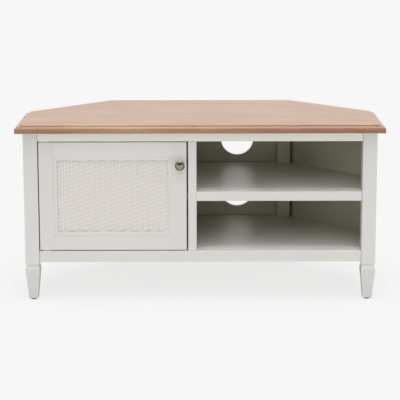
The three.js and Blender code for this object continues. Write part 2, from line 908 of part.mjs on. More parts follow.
// The door's half of a pivot: a plate let in flush, with a sleeve that turns on the pin
function makeBush() {
  const halfPlate = pivotPlateWidth / 2;
  const shape = chamferedRectangle(-halfPlate, -halfPlate, pivotPlateLength - halfPlate, halfPlate, arris);
  const plate = raise(shape, pivotPlateThickness);
  const sleeve = roundBar(bushRadius, 0, bushLength, fineSegments);
  const bore = roundBar(pivotPinRadius + pivotRunningClearance, -overrun, bushLength + overrun, fineSegments);
  return cut(join([plate, sleeve]), [bore]);
}

function makeBushes() {
  const lower = piece('door_lower_bush', makeBush(), steelFinish, pivotInset, pivotSetback, 0);
  const upper = piece('door_upper_bush', makeBush(), steelFinish, pivotInset, pivotSetback, doorHeight);
  upper.rotation.x = halfTurn;
  return [lower, upper];
}

// The knob's profile from its blind bore, out along the stem, round the head and over its face
function knobProfile() {
  const base = roseThickness + jointGap;
  const headBase = knobProjection - knobHeadThickness;
  const boreEnd = roseThickness + screwReach + holePlay;
  const boreRadius = screwRadius + holePlay;
  const rimHalf = knobRimWidth / 2;
  const rimInner = knobRadius - knobRimWidth;
  const rimBase = knobProjection - knobDomeRise;
  const profile = [[0, boreEnd], [boreRadius, boreEnd], [boreRadius, base], [knobStemRadius, base]];
  for (let i = 0; i <= domeSteps; i += 1) {
    const angle = (quarterTurn * i) / domeSteps;
    const radius = knobStemRadius + (knobRadius - knobStemRadius) * (1 - Math.cos(angle));
    profile.push([radius, base + roseThickness + (headBase - base) * Math.sin(angle)]);
  }
  for (let i = 0; i <= rimSteps; i += 1) {
    const angle = (halfTurn * i) / rimSteps;
    const radius = knobRadius - rimHalf * (1 - Math.cos(angle));
    profile.push([radius, rimBase + rimHalf * Math.sin(angle)]);
  }
  for (let i = 1; i <= domeSteps; i += 1) {
    const angle = (quarterTurn * i) / domeSteps;
    profile.push([rimInner * Math.cos(angle), rimBase + knobDomeRise * Math.sin(angle)]);
  }
  return profile;
}

function makeKnob() {
  const x = doorWidth - knobFromEdge;
  const z = doorHeight - knobFromTop;
  const knob = piece('knob', turned(knobProfile(), fineSegments), pewterFinish, x, 0, z);
  knob.rotation.x = halfTurn;
  const hole = screwRadius + holePlay;
  const roseProfile = [
    [hole, jointGap],
    [roseRadius, jointGap],
    [roseRadius, roseThickness - roseEdge],
    [roseRadius - roseEdge, roseThickness],
    [hole, roseThickness],
    [hole, jointGap],
  ];
  const rose = piece('knob_rose', turned(roseProfile, fineSegments), pewterFinish, x, 0, z);
  rose.rotation.x = halfTurn;
  const headFace = doorThickness + jointGap;
  const screwProfile = [
    [0, -roseThickness - screwReach],
    [screwRadius, -roseThickness - screwReach],
    [screwRadius, headFace],
    [screwHeadRadius, headFace],
    [screwHeadRadius, headFace + screwHeadHeight - fineArris],
    [screwHeadRadius - fineArris, headFace + screwHeadHeight],
    [0, headFace + screwHeadHeight],
  ];
  const screw = piece('knob_screw', turned(screwProfile, smallSegments), steelFinish, x, 0, z);
  return [knob, rose, screw];
}

// The steel plate on the back of the door that the catch holds
function makeStrike() {
  const halfPlate = strikeWidth / 2;
  const halfHeight = strikeHeight / 2;
  const shape = chamferedRectangle(-halfPlate, -halfHeight, halfPlate, halfHeight, arris);
  const hole = new THREE.Path();
  hole.absarc(0, 0, strikeHoleRadius, 0, halfTurn + halfTurn, true);
  shape.holes.push(hole);
  const x = doorWidth - strikeEdgeInset - halfPlate;
  const z = topRailBottomZ - catchFromTop - catchHeight / 2 - doorBottomZ;
  const y = doorThickness + jointGap + strikeThickness;
  const strike = piece('catch_strike', raise(shape, strikeThickness, 0, smallSegments), steelFinish, x, y, z);
  strike.rotation.x = quarterTurn;
  return strike;
}

function makeDoor() {
  const door = new THREE.Group();
  door.position.set(doorLeftX, frontY, doorBottomZ);
  door.add(makeHingeStile(), makeLatchStile(), ...makeDoorRails());
  door.add(...makeBeads(), makeCane(), makeBacking());
  door.add(...makeBushes(), ...makeKnob(), makeStrike());
  return door;
}

function makeCarcass() {
  const carcass = new THREE.Group();
  carcass.add(makeTop(), ...makeLegs(), ...makeFrameRails());
  carcass.add(...makeSidePanels(), makeDivider(), makeBack(), makeBottom());
  carcass.add(makeBayShelf(), makeCupboardShelf(), ...makeShelfPins());
  carcass.add(...makeCleats(), ...makeFramePivots(), makeCatch());
  return carcass;
}

const cabinet = new THREE.Group();
cabinet.add(makeCarcass(), makeDoor());

export default cabinet;
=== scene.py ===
import math
import random

import bpy
import numpy as np
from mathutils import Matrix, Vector


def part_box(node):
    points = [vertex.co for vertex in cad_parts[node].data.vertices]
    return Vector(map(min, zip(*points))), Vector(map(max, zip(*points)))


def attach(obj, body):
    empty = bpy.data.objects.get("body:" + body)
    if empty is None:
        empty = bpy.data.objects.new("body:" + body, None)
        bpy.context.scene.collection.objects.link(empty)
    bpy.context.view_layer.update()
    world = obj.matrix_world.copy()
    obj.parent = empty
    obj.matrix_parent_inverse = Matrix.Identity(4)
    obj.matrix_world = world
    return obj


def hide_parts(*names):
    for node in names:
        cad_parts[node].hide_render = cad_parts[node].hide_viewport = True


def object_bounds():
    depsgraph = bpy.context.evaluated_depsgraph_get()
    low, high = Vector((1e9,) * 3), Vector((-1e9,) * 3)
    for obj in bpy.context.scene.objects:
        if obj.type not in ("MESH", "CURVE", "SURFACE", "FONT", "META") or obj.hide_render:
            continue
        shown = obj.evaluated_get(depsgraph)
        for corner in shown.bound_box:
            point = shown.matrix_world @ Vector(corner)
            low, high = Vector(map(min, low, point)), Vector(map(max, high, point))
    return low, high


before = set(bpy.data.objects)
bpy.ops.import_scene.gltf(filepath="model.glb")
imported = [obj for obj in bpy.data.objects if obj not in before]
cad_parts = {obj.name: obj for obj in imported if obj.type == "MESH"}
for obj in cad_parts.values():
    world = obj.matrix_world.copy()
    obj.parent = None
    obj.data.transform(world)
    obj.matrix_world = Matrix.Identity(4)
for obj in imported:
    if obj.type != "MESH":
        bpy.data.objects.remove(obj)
cad_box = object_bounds()

MM = 0.001
X, Y, Z = 0, 1, 2

# Camera, fitted to the photograph
CAMERA_PLACE = (-0.0019, -4.250, 1.1792)
CAMERA_PITCH = 0.1771
CAMERA_YAW = -0.00073
CAMERA_ROLL = 0.0019
CAMERA_LENS = 129.46
CAMERA_SHIFT_Y = -0.14

# Light
SKY_STRENGTH = 0.34
TOP_LAMP_STRENGTH = 2.36
FRONT_LAMP_STRENGTH = 0.63
LAMP_SPREAD = math.radians(50)
TOP_LAMP_ELEVATION = math.radians(82)
FRONT_LAMP_ELEVATION = math.radians(40)
BACKGROUND = (0.933, 0.933, 0.933)

# Floor: wide and pale, with a glow that the camera sees, so that it fades into the background
FLOOR = (0.90, 0.90, 0.90)
FLOOR_CLOUDS = 40.0
FLOOR_SHARES = (0.997, 1.003)
FLOOR_GLOW = (0.90, 0.90, 0.90)
SHADOW_SHARE = 0.145
FLOOR_HALF = 14.0
FLOOR_TILES = 28
FLOOR_DROP = 0.2 * MM

# Colours, linear; white is also the tint that changes nothing
WHITE = (1.0, 1.0, 1.0)
PAINT = (0.665, 0.651, 0.624)
# Top front rail: lighter, yellower paint, which is painted light under the top's overhang
TOP_RAIL_PAINTED_LIGHT = (0.765, 0.751, 0.690)
# Door's top rail and top bead: a little lighter, which is painted light under the top's overhang
DOOR_RAIL_PAINTED_LIGHT = (0.692, 0.677, 0.650)
# Paler paint on the arrises: wear, and painted highlight
RUBBED_PAINT_AND_HIGHLIGHT = (0.73, 0.70, 0.64)
# Faces inside the cabinet are darker: painted shade
INSIDE_SHADE_TINT = (0.745, 0.735, 0.62)
WOOD = (0.338, 0.171, 0.090)
RED_DRIFT = (0.95, 0.87, 0.87)
YELLOW_DRIFT = (1.04, 1.10, 1.11)
# Top: painted sheen on the veneer and painted highlight on the ledge, over the lipping's tone
VENEER_SHEEN_TINT = (1.14, 1.12, 0.98)
LEDGE_HIGHLIGHT_TINT = (1.06, 1.20, 1.22)
LIPPING_LIGHT = (1.01, 1.04, 1.03)
LIPPING_DARK = (0.85, 0.75, 0.68)
SEALED = (0.64, 0.62, 0.55)
CANE = (0.75, 0.72, 0.68)
# Cane uprights are a little darker: painted shade, for how light falls across the twill
WARP_SHADE_TINT = (0.94, 0.935, 0.92)
CANE_STAIN = (0.60, 0.53, 0.42)
PEWTER = (0.34, 0.30, 0.25)
ZINC = (0.52, 0.52, 0.50)
GLIDE = (0.10, 0.097, 0.09)
CATCH = (0.085, 0.068, 0.054)

# Noise: where most of its values lie
NOISE_SPAN = (0.35, 0.65)

# Paint: noise cells per metre, shares of the colour, relief, spans of roughness, worn arrises;
# the arrises are paler as wear and as painted highlight
BRUSH_ALONG = 7.0
BRUSH_ACROSS = 330.0
PAINT_CLOUDS = 6.0
PAINT_GRAIN = 1400.0
STREAK_SHARE = 0.45
PAINT_SHARES = (0.972, 1.024)
BRUSH_HEIGHT = 0.09 * MM
PAINT_GRAIN_HEIGHT = 0.02 * MM
SATIN = (0.36, 0.47)
SHELF_SHEEN = (0.30, 0.39)
PAINT_ARRIS = 1.1 * MM
PAINT_WEAR_AND_HIGHLIGHT = (0.05, 0.35)

# Dirt in the joints of the front
JOINT_LINE_HALF = 0.9 * MM
JOINT_LINE_DEPTH = 1.5 * MM
JOINT_DIRT_SHARE = 0.42

# Shelves: painted light in front, less of it behind, and painted shade in the depth, in spans along Y
FRONT_LIGHT_TINT = (1.18, 1.18, 1.18)
MIDDLE_LIGHT_TINT = (1.10, 1.10, 1.10)
DEPTH_SHADE_TINT = (0.88, 0.865, 0.785)
FRONT_TO_MIDDLE_LIGHT = (-0.20, -0.13)
MIDDLE_LIGHT_TO_DEPTH_SHADE = (-0.10, 0.09)
SHELF_EDGE_DEPTH = 1.2 * MM

# Corner panels: painted bounce light low above the shelf, towards the side of the cabinet
BOUNCE_LIGHT_TINT = (1.60, 1.59, 1.57)
PLAIN_TO_BOUNCE_LIGHT_X = (0.33, 0.46)
BOUNCE_LIGHT_HEIGHT = 0.10

# Painted shadows in gaps inside the bays; the corner's is full up to its gap and gone at the end of its
# shade
GAP_SHADOW_TINT = (0.22, 0.22, 0.22)
CORNER_GAP = 2.5 * MM
CORNER_SHADE = 13.0 * MM
# Back panel: painted shadow in its seams above the shelf and the bottom
SEAM_SHADOW_TINT = (0.62, 0.62, 0.62)
SEAM_HEIGHT = 3.2 * MM

# Legs: painted shade near the floor, in a span of heights
FOOT_SHADE_TINT = (0.96, 0.965, 0.965)
FOOT_SHADE_TO_PLAIN = (0.085, 0.115)

# Wood: noise cells per metre along each axis, shares of the grain, pores and arrises
WOOD_WANDER = (1.3, 7.0, 7.0)
WOOD_DRIFT = (4.2, 9.0, 9.0)
WOOD_BANDS = (1.6, 55.0, 55.0)
WOOD_FIBRES = (9.0, 420.0, 420.0)
WOOD_PORES = (55.0, 1900.0, 1900.0)
FIBRE_SHARE = 0.42
BAND_SHARE = 0.38
RING_SHARE = 0.13
LEAF_SHARE = 0.07
WOOD_SHARES = (0.80, 1.20)
WOOD_FIBRE_HEIGHT = 0.04 * MM
PORE_SPAN = (0.60, 0.72)
PORE_SHARE = 0.55
PORE_DARKNESS = 0.30
PORE_DEPTH = 0.05 * MM
WOOD_ARRIS = 1.4 * MM
WOOD_WEAR = 0.22
WORN_WOOD_SHARE = 1.45
LACQUER_ROUGHNESS = (0.26, 0.36)
LACQUER_COAT = 0.3
LACQUER_COAT_ROUGHNESS = 0.12
SEALED_SHARES = (0.95, 1.0)

# Veneer leaves, side by side along Y, cut from a log whose middle lies under each
LEAF_WIDTH = 0.168
LEAF_OFFSET = 0.26
LEAF_SHIFT = 7.0
LOG_HEIGHT = 0.43
LOG_SPREAD = 0.2
RING_WANDER = 0.075
RING_TURN = 900.0

# Top's moulding: depths below the surface, for the painted sheen on the veneer and the painted highlight
# on the ledge, and the lighter stretch of the lipping along X
VENEER_DEPTH = 0.3 * MM
LEDGE_DEPTH = 4.0 * MM
LIGHT_STRETCH_X = -0.142
LIGHT_TO_DARK = (0.05, 0.30)

# Metal: noise cells per metre, relief, roughness that tarnish adds, and worn arrises
METAL_CLOUDS = 160.0
METAL_SPECKS = 1500.0
SPECK_HEIGHT = 0.015 * MM
TARNISH_ROUGHNESS = 0.14
METAL_ARRIS = 0.5 * MM
METAL_WEAR = 0.45
WORN_METAL_SHARE = 1.7

# Plastic: noise cells per metre, shares of the colour, relief, roughness that scuffs add, arrises
PLASTIC_CLOUDS = 90.0
PLASTIC_GRAIN = 2600.0
PLASTIC_SHARES = (0.75, 1.25)
PLASTIC_GRAIN_HEIGHT = 0.03 * MM
SCUFF_ROUGHNESS = 0.12
PLASTIC_ARRIS = 0.6 * MM
PLASTIC_WEAR = 0.4
WORN_PLASTIC_SHARE = 3.0

# Knob: patina in its groove and a painted dark reflection under the top of its rim;
# places and sizes in radii, and how dark they are
DARK_MARK_SHARE = 0.08
GROOVE_RADIUS = 0.8
GROOVE_SPAN = (0.04, 0.12)
GROOVE_DARKNESS = 0.42
REFLECTION_RISE = 0.42
REFLECTION_WIDTH = 0.55
REFLECTION_HEIGHT = 0.29
REFLECTION_SPAN = (0.75, 1.05)
REFLECTION_DARKNESS = 0.96

# Woven cane: the twill and its strands
WARP_PITCH = 9.1 * MM
WARP_WIDTH = 9.12 * MM
WARP_WIDTH_SHARES = (0.96, 1.02)
WARP_WOBBLE = 0.12 * MM
WEFT_PITCH = 3.11 * MM
WEFT_WIDTH = 2.98 * MM
WEFT_WIDTH_SHARES = (0.94, 1.04)
WEFT_WOBBLE = 0.09 * MM
WOBBLE_PERIODS = (0.05, 0.11)
STRAND_THICKNESS = 0.32 * MM
STRAND_RISE = 0.16 * MM
FLOAT_CROWN = 0.06 * MM
FLOAT_END_SHARE = 0.24
TWILL_REPEAT = 4
TWILL_OVER = 2
WEAVE_SEED = 7

# Strand section: share of the half width, share of the half thickness
STRAND_SECTION = ((-1, 0), (-0.68, 0.84), (0.68, 0.84), (1, 0), (0.68, -0.84), (-0.68, -0.84))

# Half width of a strand's stripe on the uv map, where strands are one apart
MARK_HALF = 0.45

# Cane: noise cells per metre of strand and across one strand, relief, and painted shadow under the beads
FIBRES_ALONG = 26.0
FIBRES_ACROSS = 9.0
STAINS_ALONG = 38.0
STAIN_STRENGTH = 0.35
CANE_SHARES = (0.94, 1.05)
CANE_ROUGHNESS = (0.42, 0.6)
FIBRE_HEIGHT = 0.06 * MM
DIVE_REACH = 2.2 * MM
DIVE_SHADOW_SHARE = 0.3
DIVE_SHADOW_DARKNESS = 0.45
DASH_SPAN = (0.17, 0.3)

# Sockets of the colour mix node
MIX_FACTOR, MIX_FIRST, MIX_SECOND, MIX_RESULT = 0, 6, 7, 2


def scaled(values, share):
    """Each number times a share."""
    return tuple(value * share for value in values)


def shade(colour, share=1.0):
    """A colour as sockets take it, paler or darker by a share."""
    return (*scaled(colour, share), 1.0)


# Materials

class Nodes:
    """Adds nodes to a tree in small steps."""

    def __init__(self, tree):
        self.tree = tree
        tree.nodes.clear()

    def node(self, kind, **settings):
        made = self.tree.nodes.new(kind)
        for setting, value in settings.items():
            setattr(made, setting, value)
        return made

    def put(self, socket, value):
        """Links a socket to another one, or sets its value."""
        if isinstance(value, bpy.types.NodeSocket):
            self.tree.links.new(value, socket)
        else:
            socket.default_value = value

    def math(self, operation, first, second=0.0):
        step = self.node("ShaderNodeMath", operation=operation)
        self.put(step.inputs[0], first)
        self.put(step.inputs[1], second)
        return step.outputs[0]

    def plus(self, first, second):
        return self.math("ADD", first, second)

    def minus(self, first, second):
        return self.math("SUBTRACT", first, second)

    def times(self, first, second):
        return self.math("MULTIPLY", first, second)

    def between(self, first, second):
        """The distance from one number to the other."""
        return self.math("ABSOLUTE", self.minus(first, second))

    def length(self, across, up):
        return self.math("SQRT", self.plus(self.times(across, across), self.times(up, up)))

    def spread(self, value, span, result=(0.0, 1.0)):
        """Carries a value from one span of numbers to another, and holds it at the ends."""
        ranged = self.node("ShaderNodeMapRange", clamp=True)
        for socket, number in zip(ranged.inputs, (value, *span, *result)):
            self.put(socket, number)
        return ranged.outputs[0]

    def fade(self, value, span):
        """One before a span of numbers, nought after it."""
        return self.spread(value, span, (1.0, 0.0))

    def blend(self, share, first, second):
        """Two shaders, with a share of the second."""
        mixed = self.node("ShaderNodeMixShader")
        for socket, value in zip(mixed.inputs, (share, first, second)):
            self.put(socket, value)
        return mixed.outputs[0]


class Finish(Nodes):
    """A node material; its points are metres in the cabinet's frame, with the door shut."""

    def __init__(self, name):
        self.material = bpy.data.materials.new(name)
        self.material.use_nodes = True
        super().__init__(self.material.node_tree)
        self.shader = self.node("ShaderNodeBsdfPrincipled")
        self.output = self.node("ShaderNodeOutputMaterial")
        self.put(self.output.inputs["Surface"], self.shader.outputs["BSDF"])
        self.coordinates = self.node("ShaderNodeTexCoord").outputs
        self.point = self.coordinates["Object"]

    def set(self, **values):
        """Sets sockets of the shader, such as Base_Color=..."""
        for name, value in values.items():
            self.put(self.shader.inputs[name.replace("_", " ")], value)

    def vector(self, operation, first, second, result="Vector"):
        step = self.node("ShaderNodeVectorMath", operation=operation)
        self.put(step.inputs[0], first)
        self.put(step.inputs[1], second)
        return step.outputs[result]

    def axis(self, vector, which):
        split = self.node("ShaderNodeSeparateXYZ")
        self.put(split.inputs[0], vector)
        return split.outputs[which]

    def joined(self, x, y, z):
        join = self.node("ShaderNodeCombineXYZ")
        for socket, value in zip(join.inputs, (x, y, z)):
            self.put(socket, value)
        return join.outputs[0]

    def normal(self):
        return self.node("ShaderNodeNewGeometry").outputs["Normal"]

    def noise(self, vector, detail=2.0, roughness=0.5):
        texture = self.node("ShaderNodeTexNoise")
        self.put(texture.inputs["Vector"], vector)
        self.put(texture.inputs["Scale"], 1.0)
        self.put(texture.inputs["Detail"], detail)
        self.put(texture.inputs["Roughness"], roughness)
        return texture.outputs[0]

    def cells(self, per_metre, detail=2.0, roughness=0.5):
        """Noise on the point, with so many cells per metre: one number, or one for each axis."""
        if isinstance(per_metre, float):
            per_metre = (per_metre, per_metre, per_metre)
        return self.noise(self.vector("MULTIPLY", self.point, per_metre), detail, roughness)

    def chance(self, vector):
        """A random number for each whole-number cell."""
        texture = self.node("ShaderNodeTexWhiteNoise", noise_dimensions="3D")
        self.put(texture.inputs["Vector"], vector)
        return texture.outputs["Value"]

    def mix(self, factor, first, second, mode="MIX"):
        mixed = self.node("ShaderNodeMix", data_type="RGBA", blend_type=mode)
        self.put(mixed.inputs[MIX_FACTOR], factor)
        self.put(mixed.inputs[MIX_FIRST], first)
        self.put(mixed.inputs[MIX_SECOND], second)
        return mixed.outputs[MIX_RESULT]

    def tinted(self, body, tint):
        return self.mix(1.0, body, tint, "MULTIPLY")

    def tones(self, value, span, colour, shares):
        """A colour that runs from one share to the other as the value crosses the span."""
        first, second = shares
        return self.mix(self.spread(value, span), shade(colour, first), shade(colour, second))

    def bump(self, height, distance, below=None):
        raised = self.node("ShaderNodeBump")
        self.put(raised.inputs["Height"], height)
        self.put(raised.inputs["Distance"], distance)
        if below is not None:
            self.put(raised.inputs["Normal"], below)
        return raised.outputs[0]

    def worn_edges(self, radius, span):
        """One on arrises within the radius, nought on flat faces; the span holds cosines."""
        rounded = self.node("ShaderNodeBevel", samples=4)
        self.put(rounded.inputs["Radius"], radius)
        return self.spread(self.vector("DOT_PRODUCT", rounded.outputs[0], self.normal(), "Value"), span)


def brushed(along):
    """Noise cells per metre, long along one axis."""
    cells = [BRUSH_ACROSS] * 3
    cells[along] = BRUSH_ALONG
    return tuple(cells)


def paint(name, along, inside=None, colour=PAINT, roughness=SATIN, tint=None):
    """Satin paint brushed along one axis, with arrises worn thin and paler, partly as painted highlight.

    Faces that look inwards may have a tint of painted shade, and a function may tint other parts.
    """
    finish = Finish(name)
    streaks = finish.cells(brushed(along), detail=3.0)
    clouds = finish.cells(PAINT_CLOUDS)
    grain = finish.cells(PAINT_GRAIN, detail=1.0)
    tone = finish.plus(finish.times(streaks, STREAK_SHARE), finish.times(clouds, 1.0 - STREAK_SHARE))
    body = finish.tones(tone, (0.32, 0.68), colour, PAINT_SHARES)
    # Inward faces: painted shade
    if inside is not None:
        body = finish.mix(inwards(finish), body, finish.tinted(body, shade(inside)))
    if tint is not None:
        body = finish.tinted(body, tint(finish))
    body = finish.mix(joint_lines(finish), body, shade(colour, JOINT_DIRT_SHARE))
    # Paler arrises: worn paint, and a painted highlight along the edges
    edges = finish.worn_edges(PAINT_ARRIS, (0.995, 0.90))
    rubbed = finish.times(edges, finish.spread(clouds, NOISE_SPAN, PAINT_WEAR_AND_HIGHLIGHT))
    finish.set(
        Base_Color=finish.mix(rubbed, body, shade(RUBBED_PAINT_AND_HIGHLIGHT)),
        Roughness=finish.spread(finish.plus(streaks, clouds), (0.7, 1.3), roughness),
        Normal=finish.bump(grain, PAINT_GRAIN_HEIGHT, finish.bump(streaks, BRUSH_HEIGHT)),
    )
    return finish.material


def inwards(finish):
    """One on faces that look towards the middle of the cabinet, nought on the rest."""
    low, high = cad_box
    outwards = finish.vector("SUBTRACT", finish.point, (low + high) / 2)
    facing = finish.vector("DOT_PRODUCT", outwards, finish.coordinates["Normal"], "Value")
    return finish.fade(facing, (0.0, 1.0 * MM))


def joint_lines(finish):
    """A thin line of dirt on the front, where rails and shelf meet the front legs."""
    leg_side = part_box("front_right_leg")[0].x
    rail_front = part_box("top_front_rail")[0].y
    from_middle = finish.math("ABSOLUTE", finish.axis(finish.point, X))
    line = finish.fade(finish.between(from_middle, leg_side), (JOINT_LINE_HALF / 2, JOINT_LINE_HALF))
    in_front = finish.math("LESS_THAN", finish.axis(finish.point, Y), rail_front + JOINT_LINE_DEPTH)
    return finish.times(line, in_front)


def shelf_painted_light(finish):
    """Tint of a shelf: none on its front edge, painted light behind it and painted shade in the depth.
    """
    shelf_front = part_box("bay_shelf")[0].y
    y = finish.axis(finish.point, Y)
    flat = finish.mix(finish.spread(y, FRONT_TO_MIDDLE_LIGHT), shade(FRONT_LIGHT_TINT), shade(MIDDLE_LIGHT_TINT))
    flat = finish.mix(finish.spread(y, MIDDLE_LIGHT_TO_DEPTH_SHADE), flat, shade(DEPTH_SHADE_TINT))
    behind_edge = finish.math("GREATER_THAN", y, shelf_front + SHELF_EDGE_DEPTH)
    return finish.mix(behind_edge, shade(WHITE), flat)


def foot_shade(finish):
    """Tint of a leg: painted shade, a little darker near the floor."""
    unshaded = finish.spread(finish.axis(finish.point, Z), FOOT_SHADE_TO_PLAIN)
    return finish.mix(unshaded, shade(FOOT_SHADE_TINT), shade(WHITE))


def corner_shades(finish):
    """Corner panel's inside tint: painted shadow by the rear leg, painted bounce light low above the
    shelf.
    """
    beside_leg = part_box("rear_right_leg")[1].x
    shelf_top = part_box("bay_shelf")[1].z
    from_middle = finish.math("ABSOLUTE", finish.axis(finish.point, X))
    z = finish.axis(finish.point, Z)
    # Painted shadow in the gap beside the rear leg
    gap = finish.fade(from_middle, (beside_leg + CORNER_GAP, beside_leg + CORNER_SHADE))
    # Painted bounce light low above the shelf
    low = finish.fade(z, (shelf_top, shelf_top + BOUNCE_LIGHT_HEIGHT))
    above_shelf = finish.times(low, finish.math("GREATER_THAN", z, shelf_top))
    pale = finish.times(finish.spread(from_middle, PLAIN_TO_BOUNCE_LIGHT_X), above_shelf)
    tint = finish.mix(pale, shade(WHITE), shade(BOUNCE_LIGHT_TINT))
    tint = finish.mix(gap, tint, shade(GAP_SHADOW_TINT))
    return finish.mix(inwards(finish), shade(WHITE), tint)


def wall_seam_shadows(finish):
    """Tint of the back panel: painted shadow inside, in the seams above the shelf and the bottom."""
    z = finish.axis(finish.point, Z)
    seams = 0.0
    for name in ("bay_shelf", "bottom_panel"):
        from_seam = finish.between(z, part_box(name)[1].z + SEAM_HEIGHT / 2)
        seams = finish.math("MAXIMUM", seams, finish.fade(from_seam, scaled((0.4, 0.6), SEAM_HEIGHT)))
    return finish.mix(finish.times(seams, inwards(finish)), shade(WHITE), shade(SEAM_SHADOW_TINT))


def top_wood():
    """Lacquered wood: veneer leaves with growth rings, fine grain and pores along X."""
    finish = Finish("top_wood")
    x, y, z = (finish.axis(finish.point, which) for which in (X, Y, Z))
    leaf = finish.math("FLOOR", finish.math("DIVIDE", finish.plus(y, LEAF_OFFSET), LEAF_WIDTH))
    luck = finish.chance(finish.joined(leaf, 3.0, 5.0))
    shifted = finish.joined(finish.plus(x, finish.times(luck, LEAF_SHIFT)), y, z)

    def streaked(cells, detail, roughness=0.55):
        return finish.noise(finish.vector("MULTIPLY", shifted, cells), detail, roughness)

    rings = growth_rings(finish, y, z, luck, streaked(WOOD_WANDER, 2.0))
    drift = streaked(WOOD_DRIFT, 1.0)
    bands = streaked(WOOD_BANDS, 3.0)
    fibres = streaked(WOOD_FIBRES, 4.0, 0.62)
    pores = finish.spread(streaked(WOOD_PORES, 1.0), PORE_SPAN)

    grain = finish.plus(finish.times(fibres, FIBRE_SHARE), finish.times(bands, BAND_SHARE))
    grain = finish.plus(grain, finish.spread(rings, (-1.0, 1.0), (0.0, RING_SHARE)))
    grain = finish.plus(grain, finish.times(luck, LEAF_SHARE))
    body = finish.tones(grain, (0.34, 0.66), WOOD, WOOD_SHARES)
    body = finish.mix(
        finish.spread(drift, (0.38, 0.62)),
        finish.tinted(body, shade(RED_DRIFT)),
        finish.tinted(body, shade(YELLOW_DRIFT)),
    )
    body = finish.mix(finish.times(pores, PORE_DARKNESS), body, shade(WOOD, PORE_SHARE))
    edges = finish.worn_edges(WOOD_ARRIS, (0.99, 0.86))
    body = finish.mix(finish.times(edges, WOOD_WEAR), body, shade(WOOD, WORN_WOOD_SHARE))
    # Painted sheen and highlight on the top's upward faces
    body = finish.tinted(body, moulding_tint(finish, x, z))
    looks_down = finish.math("LESS_THAN", finish.axis(finish.normal(), Z), -0.5)
    body = finish.mix(looks_down, body, finish.tones(fibres, (0.3, 0.7), SEALED, SEALED_SHARES))
    finish.set(
        Base_Color=body,
        Roughness=finish.spread(fibres, NOISE_SPAN, LACQUER_ROUGHNESS),
        Coat_Weight=LACQUER_COAT,
        Coat_Roughness=LACQUER_COAT_ROUGHNESS,
        Normal=finish.bump(pores, -PORE_DEPTH, finish.bump(fibres, WOOD_FIBRE_HEIGHT)),
    )
    return finish.material


def growth_rings(finish, y, z, luck, wander):
    """Rings round the middle of a log, which lies elsewhere for each leaf."""
    sideways = finish.minus(y, finish.times(luck, LOG_SPREAD))
    from_middle = finish.length(sideways, finish.minus(z, LOG_HEIGHT))
    place = finish.plus(from_middle, finish.times(wander, RING_WANDER))
    return finish.math("SINE", finish.times(place, RING_TURN))


def moulding_tint(finish, x, z):
    """Tint of the top: painted sheen on the veneer, painted highlight on the ledge, lipping's tone
    below.
    """
    surface = cad_box[1].z
    dark = finish.spread(finish.between(x, LIGHT_STRETCH_X), LIGHT_TO_DARK)
    lipping = finish.mix(dark, shade(LIPPING_LIGHT), shade(LIPPING_DARK))
    on_ledge = finish.math("GREATER_THAN", z, surface - LEDGE_DEPTH)
    veneered = finish.math("GREATER_THAN", z, surface - VENEER_DEPTH)
    return finish.mix(veneered, finish.mix(on_ledge, lipping, shade(LEDGE_HIGHLIGHT_TINT)), shade(VENEER_SHEEN_TINT))


def metal(name, colour, roughness, tarnish, dark_marks=None):
    """Plated metal with tarnish in clouds, brighter rubbed arrises, and dark marks where a function
    gives them.
    """
    finish = Finish(name)
    clouds = finish.cells(METAL_CLOUDS, detail=4.0, roughness=0.6)
    specks = finish.cells(METAL_SPECKS)
    body = finish.tones(clouds, NOISE_SPAN, colour, (1.0 - tarnish, 1.0))
    if dark_marks is not None:
        body = finish.mix(dark_marks(finish), body, shade(colour, DARK_MARK_SHARE))
    edges = finish.worn_edges(METAL_ARRIS, (0.99, 0.8))
    rubbed = finish.times(edges, METAL_WEAR)
    finish.set(
        Base_Color=finish.mix(rubbed, body, shade(colour, WORN_METAL_SHARE)),
        Metallic=1.0,
        Roughness=finish.spread(clouds, NOISE_SPAN, (roughness, roughness + TARNISH_ROUGHNESS)),
        Normal=finish.bump(specks, SPECK_HEIGHT),
    )
    return finish.material


def knob_patina_and_reflection(finish):
    """Painted dark reflection under the top of the knob's rim, and a thin ring of patina in its groove.
    """
    low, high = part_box("knob")
    centre, radius = (low + high) / 2, (high.x - low.x) / 2
    sideways = finish.minus(finish.axis(finish.point, X), centre.x)
    upwards = finish.minus(finish.axis(finish.point, Z), centre.z)
    from_groove = finish.between(finish.length(sideways, upwards), radius * GROOVE_RADIUS)
    ring = finish.spread(from_groove, scaled(GROOVE_SPAN, radius), (GROOVE_DARKNESS, 0.0))
    # Painted dark reflection under the top of the rim
    reflection_across = finish.times(sideways, 1.0 / REFLECTION_WIDTH)
    reflection_up = finish.times(finish.minus(upwards, radius * REFLECTION_RISE), 1.0 / REFLECTION_HEIGHT)
    from_reflection = finish.length(reflection_across, reflection_up)
    painted_reflection = finish.spread(from_reflection, scaled(REFLECTION_SPAN, radius), (REFLECTION_DARKNESS, 0.0))
    return finish.math("MAXIMUM", ring, painted_reflection)


def plastic(name, colour, roughness):
    """Moulded plastic with a fine grain and scuffed edges."""
    finish = Finish(name)
    clouds = finish.cells(PLASTIC_CLOUDS, detail=3.0)
    grain = finish.cells(PLASTIC_GRAIN, detail=1.0)
    body = finish.tones(clouds, NOISE_SPAN, colour, PLASTIC_SHARES)
    edges = finish.worn_edges(PLASTIC_ARRIS, (0.99, 0.8))
    scuffed = finish.times(edges, PLASTIC_WEAR)
    finish.set(
        Base_Color=finish.mix(scuffed, body, shade(colour, WORN_PLASTIC_SHARE)),
        Roughness=finish.spread(clouds, NOISE_SPAN, (roughness, roughness + SCUFF_ROUGHNESS)),
        Normal=finish.bump(grain, PLASTIC_GRAIN_HEIGHT),
    )
    return finish.material


